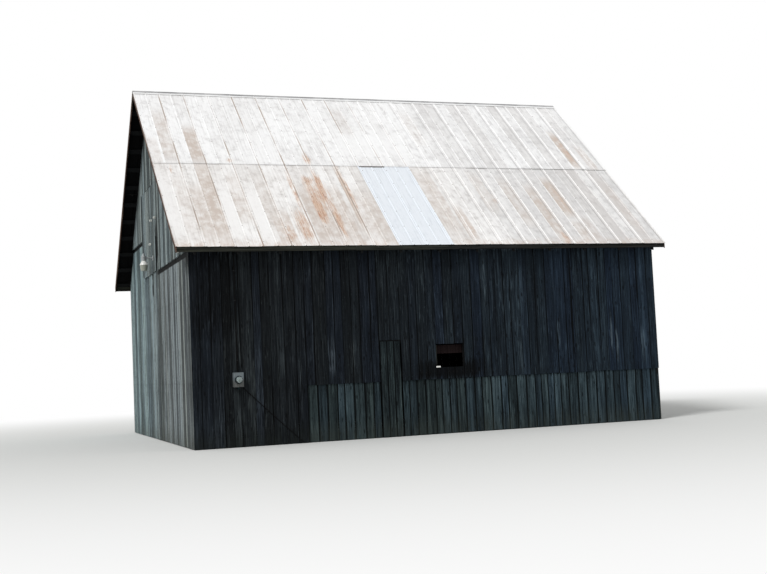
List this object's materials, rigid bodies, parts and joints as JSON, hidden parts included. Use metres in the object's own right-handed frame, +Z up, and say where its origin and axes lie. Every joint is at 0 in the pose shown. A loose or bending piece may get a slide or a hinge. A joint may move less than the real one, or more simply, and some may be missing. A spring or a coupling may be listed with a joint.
{
  "type": "timber barn with a crimped metal gable roof",
  "caption": "Black-stained timber barn with vertical board walls, a gable roof of crimped metal sheets, a small window opening and a yard light.",
  "frame": {"origin": "ground level under the middle of the roof's length and width", "axes": "+X along the ridge from the left end to the right one, +Y from the front wall to the back wall, +Z up"},
  "size_m": [11.59, 10.2699, 8.5968],
  "materials": {
    "frame_timber": "matte",
    "dark_boards": "matte",
    "skirt_boards": "matte",
    "grey_boards": "matte",
    "faded_trim": "matte",
    "old_tin": "satin",
    "new_tin": "satin",
    "meter_grey": "satin",
    "meter_glass": "gloss",
    "cable_black": "matte",
    "lamp_grey": "satin",
    "lamp_white": "gloss",
    "porcelain": "gloss"
  },
  "bodies": {
    "root": {"sills": "frame_timber", "front_posts": "frame_timber", "back_posts": "frame_timber", "end_posts": "frame_timber", "front_girts": "frame_timber", "back_girts": "frame_timber", "end_girts": "frame_timber", "wall_plates": "frame_timber", "tie_beams": "frame_timber", "wall_braces": "frame_timber", "tie_braces": "frame_timber", "gable_studs": "frame_timber", "front_rafters": "frame_timber", "back_rafters": "frame_timber", "ridge_board": "frame_timber", "front_roof_lath": "frame_timber", "back_roof_lath": "frame_timber", "front_roof_upper": "old_tin", "front_roof_lower": "old_tin", "new_roof_sheets": "new_tin", "back_roof_upper": "old_tin", "back_roof_lower": "old_tin", "ridge_cap": "old_tin", "rake_boards": "faded_trim", "eave_fascias": "faded_trim", "front_wall_left": "dark_boards", "front_wall_mid": "dark_boards", "front_wall_over_window": "dark_boards", "front_wall_under_window": "dark_boards", "front_wall_right": "dark_boards", "front_skirt": "skirt_boards", "narrow_panel": "skirt_boards", "window_studs": "frame_timber", "back_wall": "dark_boards", "left_wall": "grey_boards", "left_gable_boards": "grey_boards", "loft_panel": "grey_boards", "right_wall": "grey_boards", "right_gable_boards": "grey_boards", "meter_box": "meter_grey", "meter_glass": "meter_glass", "service_cable": "cable_black", "ground_cable": "cable_black", "yard_light_arm": "lamp_grey", "yard_light_bell": "lamp_white", "wire_knobs": "porcelain"}
  },
  "joints": []
}
